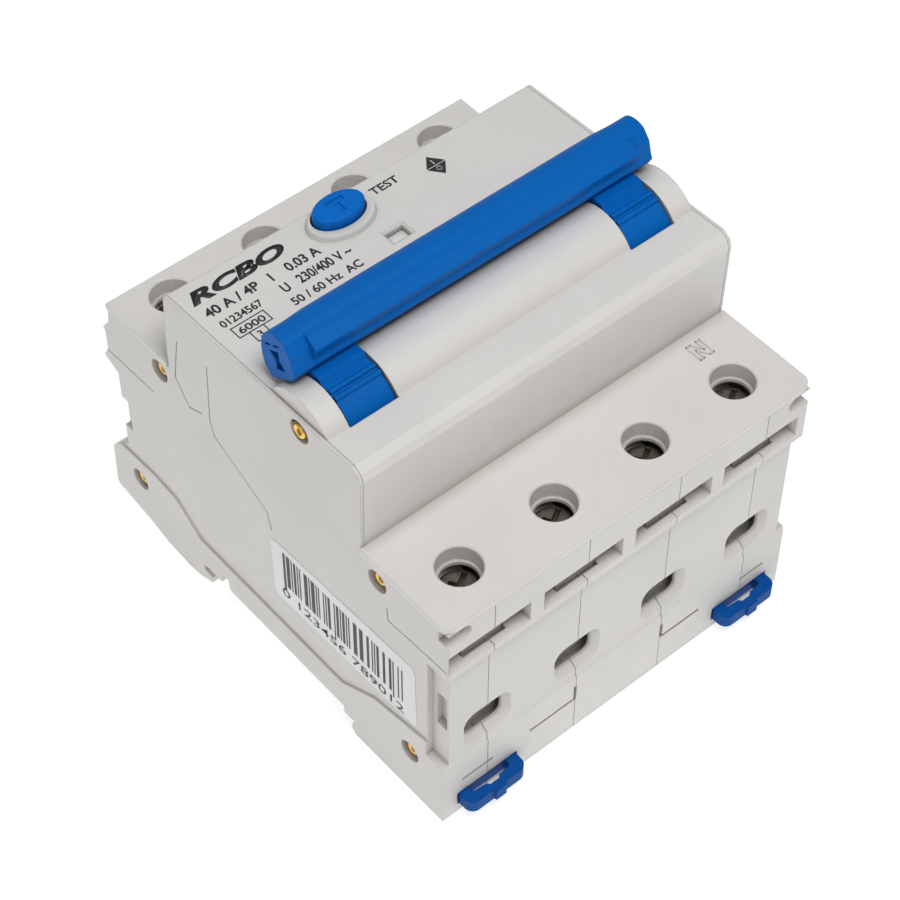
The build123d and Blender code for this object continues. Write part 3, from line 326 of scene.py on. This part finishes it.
def thicken(mesh, thickness, place):
    """Turns a flat mesh into a thin closed skin. place gives a point's spot and the way outward there."""
    work = bmesh.new()
    work.from_mesh(mesh)
    bmesh.ops.remove_doubles(work, verts=work.verts, dist=SAME_POINT)
    bmesh.ops.dissolve_degenerate(work, edges=work.edges, dist=SAME_POINT)
    top = bmesh.ops.extrude_face_region(work, geom=list(work.faces))
    raised = {v for v in top["geom"] if isinstance(v, bmesh.types.BMVert)}
    for v in work.verts:
        spot, out = place(v.co)
        lift = PRINT_LIFT + (thickness if v in raised else 0.0)
        v.co = spot + out * lift
    bmesh.ops.recalc_face_normals(work, faces=work.faces)
    work.to_mesh(mesh)
    work.free()


def text_piece(name, text, height, place, material, weight, width=None, slant=0.0):
    """A printed text. height is that of a capital, and height and width are in mm."""
    curve = bpy.data.curves.new("text", "FONT")
    curve.body = text
    curve.size = 1.0
    curve.align_x = "LEFT"
    curve.offset = weight
    curve.shear = slant
    curve.resolution_u = 4
    holder = bpy.data.objects.new("text", curve)
    link_to_scene(holder)
    bpy.context.view_layer.update()
    mesh = bpy.data.meshes.new_from_object(holder.evaluated_get(bpy.context.evaluated_depsgraph_get()))
    bpy.data.objects.remove(holder)
    low = min(v.co.x for v in mesh.vertices)
    high = max(v.co.x for v in mesh.vertices)
    tall = height * MM / CAPITAL_HEIGHT
    wide = width * MM / (high - low) if width else tall
    thicken(mesh, PRINT_THICK, lambda p: place((p.x - low) * wide, p.y * tall))
    return add_piece(name, mesh, material, "housing")


def patches(name, shapes, place, material):
    """Printed flat shapes. Each shape is a list of corners (across, up) in mm."""
    mesh = bpy.data.meshes.new(name)
    work = bmesh.new()
    for shape in shapes:
        work.faces.new([work.verts.new((a * MM, b * MM, 0)) for a, b in shape])
    work.to_mesh(mesh)
    work.free()
    thicken(mesh, PRINT_THICK, lambda p: place(p.x, p.y))
    return add_piece(name, mesh, material, "housing")


def strokes(name, lines, width, place, material, thickness=PRINT_THICK):
    """Lines of one width. Each line is a list of points (across, up) in mm."""
    mesh = bpy.data.meshes.new(name)
    work = bmesh.new()
    for line in lines:
        for a, b in zip(line, line[1:]):
            start, end = Vector((*a, 0)), Vector((*b, 0))
            along = (end - start).normalized() * width / 2
            side = Vector((-along.y, along.x, 0))
            corners = [start - along + side, end + along + side, end + along - side, start - along - side]
            work.faces.new([work.verts.new(c * MM) for c in corners])
    work.to_mesh(mesh)
    work.free()
    thicken(mesh, thickness, lambda p: place(p.x, p.y))
    return add_piece(name, mesh, material, "housing")


def rectangle(x0, y0, x1, y1):
    return [(x0, y0), (x1, y0), (x1, y1), (x0, y1), (x0, y0)]


# ---------------------------------------------------------------- print on the nose
NOSE_X = 20 * MM              # the nose's slope is measured along this line, between these two points
NOSE_NEAR_Y, NOSE_FAR_Y = 5.0 * MM, 18.0 * MM
nose_near = Vector((NOSE_X, NOSE_NEAR_Y, surface_height(NOSE_X, NOSE_NEAR_Y)))
nose_far = Vector((NOSE_X, NOSE_FAR_Y, surface_height(NOSE_X, NOSE_FAR_Y)))
nose_up = (nose_far - nose_near).normalized()
nose_out = (-LEFT).cross(nose_up).normalized()


def on_nose(x, y):
    """Places flat shapes on the nose's sloping face, with their corner at (x, y) in mm."""
    along = (y * MM - nose_near.y) / nose_up.y
    start = Vector((x * MM, nose_near.y, nose_near.z)) + nose_up * along

    def place(across, up):
        return start + Vector((across, 0, 0)) + nose_up * up, nose_out

    return place


PRINT_LINES = [
    # name, text, x, y, cap height, width, weight, slant
    ("print_title", "RCBO", -33.6, 16.4, 2.6, 17.6, 0.05, 0.25),
    ("print_current", "40 A / 4P", -33.3, 13.0, 1.9, 9.6, 0.026, 0.0),
    ("print_residual", "I    0.03 A", -21.6, 12.9, 1.9, 9.1, 0.026, 0.0),
    ("print_number", "01234567", -32.9, 10.0, 1.5, 7.4, 0.022, 0.0),
    ("print_voltage", "U   230/400 V ~", -21.7, 9.8, 1.9, 12.8, 0.026, 0.0),
    ("print_frequency", "50 / 60 Hz  AC", -22.2, 6.8, 1.6, 12.9, 0.022, 0.0),
    ("print_test", "TEST", 1.0, 17.3, 1.6, 5.2, 0.022, 0.0),
]
for name, text, x, y, height, width, weight, slant in PRINT_LINES:
    text_piece(name, text, height, on_nose(x, y), ink, weight, width, slant)

# a framed 6000 with a smaller framed 3 under it
BOX_STROKE, BOX_TEXT_HEIGHT, BOX_TEXT_WEIGHT, BREAKING_WIDTH = 0.2, 1.35, 0.02, 4.6
BOXES = [rectangle(-32.3, 6.9, -26.4, 9.2), rectangle(-30.6, 4.6, -28.1, 6.9)]
strokes("print_boxes", BOXES, BOX_STROKE, on_nose(0, 0), ink)
text_piece("print_breaking", "6000", BOX_TEXT_HEIGHT, on_nose(-31.6, 7.35), ink,
           BOX_TEXT_WEIGHT, BREAKING_WIDTH)
text_piece("print_class", "3", BOX_TEXT_HEIGHT, on_nose(-29.8, 5.05), ink, BOX_TEXT_WEIGHT)

# on/off diamond: two dark triangles with a pale I and a pale O
DIAMOND_HALF, DIAMOND_TALL, DIAMOND_GAP = 1.8, 2.4, 0.07
OFF_MIDDLE, OFF_WIDE, OFF_TALL, OFF_STEPS = -0.8, 0.36, 0.45, 16
ON_LINE = [(0.0, 0.4), (0.0, 1.3)]
SIGN_STROKE = 0.18
on_diamond = on_nose(12.45, 16.3)
far_triangle = [(-DIAMOND_HALF, DIAMOND_GAP), (DIAMOND_HALF, DIAMOND_GAP), (0.0, DIAMOND_TALL)]
near_triangle = [(-DIAMOND_HALF, -DIAMOND_GAP), (0.0, -DIAMOND_TALL), (DIAMOND_HALF, -DIAMOND_GAP)]
patches("print_diamond", [far_triangle, near_triangle], on_diamond, ink)
off_ring = []
for step in range(OFF_STEPS + 1):
    turn = step * math.pi / (OFF_STEPS / 2)
    off_ring.append((OFF_WIDE * math.sin(turn), OFF_MIDDLE + OFF_TALL * math.cos(turn)))
strokes("print_on_off", [ON_LINE, off_ring], SIGN_STROKE, on_diamond, materials["cover_plastic"],
        PRINT_THICK * 2)

# ---------------------------------------------------------------- raised outline of the letter N
N_X, N_Y, N_WIDE, N_TALL, N_LEG = 26.13, -29.64, 2.7, 3.2, 0.75
N_NOTCH = N_LEG * 1.7         # how far the slanted stroke's ends are from the letter's top and foot
N_STROKE, N_RAISED = 0.2, 0.12 * MM
shoulder_z = surface_height(N_X * MM, N_Y * MM)


def on_shoulder(across, up):
    """Flat shapes on the near shoulder, from the letter's lower left corner."""
    return Vector((N_X * MM + across, N_Y * MM + up, shoulder_z - PRINT_LIFT)), UP


letter = [(0, 0), (0, N_TALL), (N_LEG, N_TALL), (N_WIDE - N_LEG, N_NOTCH), (N_WIDE - N_LEG, N_TALL),
          (N_WIDE, N_TALL), (N_WIDE, 0), (N_WIDE - N_LEG, 0), (N_LEG, N_TALL - N_NOTCH), (N_LEG, 0), (0, 0)]
strokes("letter_neutral", [letter], N_STROKE, on_shoulder, materials["cover_plastic"], N_RAISED)

# ---------------------------------------------------------------- label on the left side
LABEL_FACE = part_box("side_label")[0].x
BAR_UNIT, BARS_WIDE, BARS_TALL = 0.29, 29.0, 9.2
BAR_SIZES = (1, 1, 2, 3)      # bars and gaps are this many units wide
GUARD_BARS, GUARD_DROP = (0, 14, 28), 1.2
DIGITS_HEIGHT, DIGITS_WIDTH, DIGITS_WEIGHT = 1.95, 29.5, 0.004


def on_label(y, z):
    """Places flat shapes on the label, seen from the left: across runs from (y, z) in mm towards -Y."""
    def place(across, up):
        return Vector((LABEL_FACE, y * MM - across, z * MM + up)), LEFT

    return place


def bars():
    """A made-up barcode: bars and gaps of one to three units, with three bars that reach lower."""
    draw = random.Random(SEED)
    made = []
    across = 0.0
    while across < BARS_WIDE:
        bar = draw.choice(BAR_SIZES) * BAR_UNIT
        gap = draw.choice(BAR_SIZES) * BAR_UNIT
        low = 0.0 if len(made) in GUARD_BARS else GUARD_DROP
        made.append([(across, low), (across + bar, low), (across + bar, BARS_TALL), (across, BARS_TALL)])
        across += bar + gap
    return made


patches("label_bars", bars(), on_label(-4.6, 16.2), label_ink)
text_piece("label_digits", "0 123456 789012", DIGITS_HEIGHT, on_label(-4.0, 14.3), label_ink,
           DIGITS_WEIGHT, DIGITS_WIDTH)

# ---------------------------------------------------------------- rolled ends of the hollow rivets
RIVETS = [(-27.8, 41.6), (24.8, 41.5), (-35.0, 6.2), (34.6, 6.2), (-11.0, 59.6)]        # (y, z) in mm
# the lip's profile: (radius, height over the rivet's head) in mm
ROLL = [(0.55, -0.5), (0.55, 0.35), (0.68, 0.55), (0.9, 0.66), (1.12, 0.58), (1.25, 0.35), (1.28, -0.5)]
ROLL_STEPS = 28
SEAT_RADIUS = 0.9 * MM        # the head's height is read this far from the rivet's middle
BASE_TOP = 10.0               # rivets below this height sit in the base
BASE_PROUD = 0.35             # the base stands out this far, and its rivets with it


def rivet_roll(name, side, y, z, proud):
    """The rolled brass lip of one rivet, turned about X, standing on the rivet's head."""
    start = Vector((side * BESIDE, y * MM + SEAT_RADIUS, z * MM))
    _, seat, _, _ = frame["nodes"]["housing_rivets"].ray_cast(start, Vector((-side, 0, 0)))
    spots = []
    faces = []
    ring = len(ROLL)
    for step in range(ROLL_STEPS):
        turn = 2 * math.pi * step / ROLL_STEPS
        for radius, out in ROLL:
            spots.append((seat.x + side * (out + proud) * MM, y * MM + radius * MM * math.cos(turn),
                          z * MM + radius * MM * math.sin(turn)))
        here = step * ring
        after = (step + 1) % ROLL_STEPS * ring
        for i in range(ring - 1):
            faces.append((here + i, here + i + 1, after + i + 1, after + i))
        faces.append((here + ring - 1, here, after, after + ring - 1))
    mesh = bpy.data.meshes.new(name)
    mesh.from_pydata(spots, [], faces)
    work = bmesh.new()
    work.from_mesh(mesh)
    bmesh.ops.recalc_face_normals(work, faces=work.faces)
    for face in work.faces:
        face.smooth = True
    work.to_mesh(mesh)
    work.free()
    return add_piece(name, mesh, materials["rivet_brass"], "housing")


for number, (y, z) in enumerate(RIVETS, 1):
    proud = BASE_PROUD if z < BASE_TOP else 0.0
    rivet_roll(f"rivet_roll_left_{number}", -1, y, z, proud)
    rivet_roll(f"rivet_roll_right_{number}", 1, y, z, proud)

# ---------------------------------------------------------------- stage, light and camera
FLOOR_HALF = 1.2
FLOOR_BELOW = 0.02 * MM       # gap between the device and the floor
FLOOR_DARK, FLOOR_PALE = (0.55, 0.55, 0.55), (0.57, 0.57, 0.57)
FLOOR_GLOW = 0.72
WHITE = (1.0, 1.0, 1.0, 1.0)

WORLD_STRENGTH = 0.25
LIGHT_AIM = (0.0, 0.0, 0.03)
LIGHTS = [
    # name, place, size, watts
    ("key", (-0.04, -0.2, 0.62), 0.3, 2.3),
    ("left_fill", (-0.7, -0.1, 0.35), 0.5, 0.35),
    ("far_fill", (0.2, 0.5, 0.65), 0.4, 0.3),
]

CAMERA_AIM = Vector((-0.272 * MM, -2.256 * MM, 20.0 * MM))
CAMERA_DISTANCE = 405.8 * MM
CAMERA_AZIMUTH = math.radians(-40.505)
CAMERA_ELEVATION = math.radians(50.347)
CAMERA_ROLL = math.radians(0.312)
CAMERA_LENS = 101.44
CAMERA_SENSOR = 36.0
CAMERA_CLIP = 0.01


def floor():
    """A plain pale floor that glows a little."""
    s = Shader("floor_pale")
    s.set(Roughness=0.9, Specular_IOR_Level=0.2, Emission_Color=WHITE, Emission_Strength=FLOOR_GLOW)
    s.drive(Base_Color=s.mix(s.spread(s.noise(FLOOR_CLOUDS), 0.3, 0.7), FLOOR_DARK, FLOOR_PALE))
    z = cad_box[0].z - FLOOR_BELOW
    mesh = bpy.data.meshes.new("floor")
    spots = [(-FLOOR_HALF, -FLOOR_HALF, z), (FLOOR_HALF, -FLOOR_HALF, z), (FLOOR_HALF, FLOOR_HALF, z),
             (-FLOOR_HALF, FLOOR_HALF, z)]
    mesh.from_pydata(spots, [], [(0, 1, 2, 3)])
    mesh.materials.append(s.material)
    made = bpy.data.objects.new("floor", mesh)
    link_to_scene(made)


def lights():
    world = bpy.data.worlds.new("studio")
    world.use_nodes = True
    background = world.node_tree.nodes["Background"]
    background.inputs["Color"].default_value = WHITE
    background.inputs["Strength"].default_value = WORLD_STRENGTH
    bpy.context.scene.world = world
    for name, place, size, power in LIGHTS:
        data = bpy.data.lights.new(name, "AREA")
        data.shape = "DISK"
        data.size = size
        data.energy = power
        made = bpy.data.objects.new(name, data)
        made.location = place
        made.rotation_mode = "QUATERNION"
        made.rotation_quaternion = (Vector(LIGHT_AIM) - Vector(place)).to_track_quat("-Z", "Y")
        link_to_scene(made)


def camera():
    data = bpy.data.cameras.new("camera")
    data.sensor_width = CAMERA_SENSOR
    data.lens = CAMERA_LENS
    data.clip_start = CAMERA_CLIP
    made = bpy.data.objects.new("camera", data)
    level = math.cos(CAMERA_ELEVATION)
    back = Vector((math.sin(CAMERA_AZIMUTH) * level, -math.cos(CAMERA_AZIMUTH) * level,
                   math.sin(CAMERA_ELEVATION)))
    made.location = CAMERA_AIM + back * CAMERA_DISTANCE
    made.rotation_mode = "QUATERNION"
    turn = (-back).to_track_quat("-Z", "Y").to_matrix() @ Matrix.Rotation(CAMERA_ROLL, 3, "Z")
    made.rotation_quaternion = turn.to_quaternion()
    link_to_scene(made)
    bpy.context.scene.camera = made


floor()
lights()
camera()
bpy.context.scene.view_settings.view_transform = "Standard"
